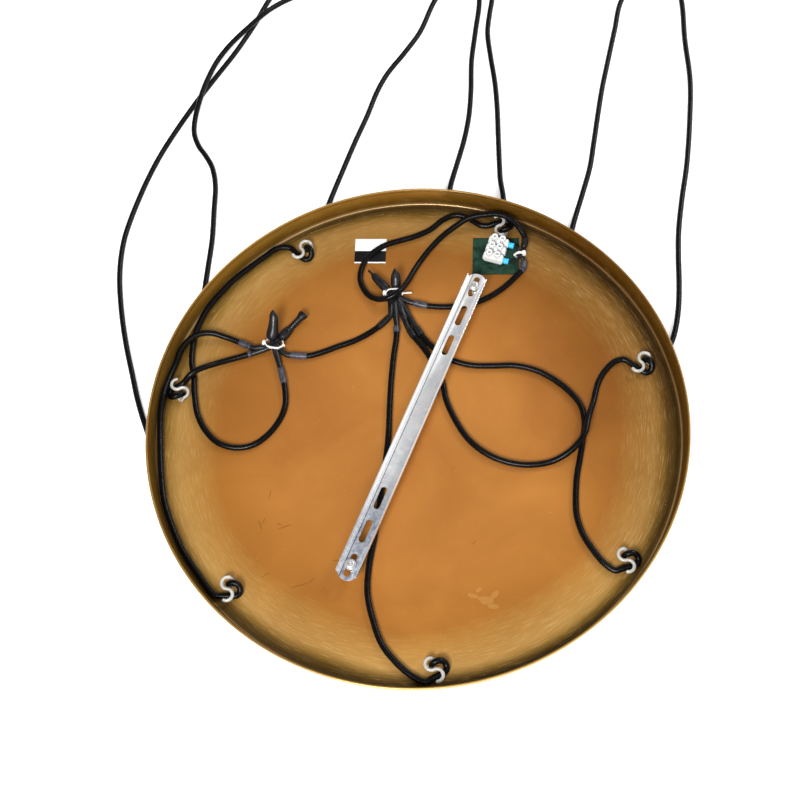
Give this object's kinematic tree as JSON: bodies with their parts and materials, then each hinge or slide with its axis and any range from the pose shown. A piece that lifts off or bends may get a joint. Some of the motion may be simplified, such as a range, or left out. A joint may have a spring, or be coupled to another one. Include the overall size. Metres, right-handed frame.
{
  "type": "pendant lamp",
  "caption": "Round ceiling canopy with its mounting bar, wiring and long black cords that end in lampholders, laid open side up.",
  "frame": {"origin": "middle of the ceiling bar's upper web face, the face that lies against the ceiling bracket or ceiling", "axes": "+Z towards the ceiling, square to the canopy; +Y the way the free cords lead away over the table; +X to their right"},
  "size_m": [0.7238, 1.0666, 0.0477],
  "materials": {
    "bronze_pan": "satin bronze lacquer on pressed steel",
    "zinc_plate": "bright zinc plating",
    "brass_nut": "satin",
    "black_cable": "soft black cable sheath",
    "black_tape": "wound insulating tape",
    "white_nylon": "moulded white nylon",
    "blue_nylon": "moulded blue collar",
    "green_foam": "thin foam sheet",
    "label_paper": "coated film, bare",
    "black_plastic": "moulded"
  },
  "bodies": {
    "canopy": {"canopy_pan": "bronze_pan", "cord_grip_a": "white_nylon", "cord_grip_b": "white_nylon", "cord_grip_c": "white_nylon", "cord_grip_d": "white_nylon", "cord_grip_e": "white_nylon", "cord_grip_f": "white_nylon", "cord_grip_g": "white_nylon", "lead_a": "black_cable", "lead_b": "black_cable", "lead_c": "black_cable", "lead_d": "black_cable", "lead_e": "black_cable", "lead_f": "black_cable", "lead_g": "black_cable", "link_lead": "black_cable", "feed_lead": "black_cable", "splice_cores_1": "black_cable", "splice_cores_2": "black_cable", "terminal_cores": "black_cable", "splice_cap_1a": "black_tape", "splice_cap_1b": "black_tape", "splice_cap_2a": "black_tape", "splice_cap_2b": "black_tape", "cable_tie_1": "white_nylon", "cable_tie_2": "white_nylon", "cable_tie_3": "white_nylon", "terminal_block": "white_nylon", "ferrule_upper": "blue_nylon", "ferrule_lower": "blue_nylon", "terminal_pad": "green_foam", "rating_label": "label_paper", "cord_a": "black_cable", "coil_a": "black_cable", "lampholder_a": "black_plastic", "cord_b": "black_cable", "coil_b": "black_cable", "lampholder_b": "black_plastic", "cord_c": "black_cable", "coil_c": "black_cable", "lampholder_c": "black_plastic", "cord_d": "black_cable", "coil_d": "black_cable", "lampholder_d": "black_plastic", "cord_e": "black_cable", "coil_e": "black_cable", "lampholder_e": "black_plastic", "cord_f": "black_cable", "coil_f": "black_cable", "lampholder_f": "black_plastic", "cord_g": "black_cable", "coil_g": "black_cable", "lampholder_g": "black_plastic"},
    "bar_assembly": {"ceiling_bar": "zinc_plate", "bar_screw_far": "zinc_plate", "bar_screw_near": "zinc_plate", "lock_nut_far": "zinc_plate", "lock_nut_near": "zinc_plate"},
    "far_cap_nut": {"cap_nut_far": "brass_nut"},
    "near_cap_nut": {"cap_nut_near": "brass_nut"}
  },
  "joints": [
    {"name": "bar_lift", "type": "slide", "parent": "canopy", "child": "bar_assembly", "axis": [0, 0, 1], "range_m": [-0.008, 0]},
    {"name": "far_cap_nut_turn", "type": "hinge", "parent": "bar_assembly", "child": "far_cap_nut", "pos_m": [0.075, 0.1299, -0.03], "axis": [0, 0, 1], "continuous": true},
    {"name": "near_cap_nut_turn", "type": "hinge", "parent": "bar_assembly", "child": "near_cap_nut", "pos_m": [-0.075, -0.1299, -0.03], "axis": [0, 0, 1], "continuous": true}
  ]
}
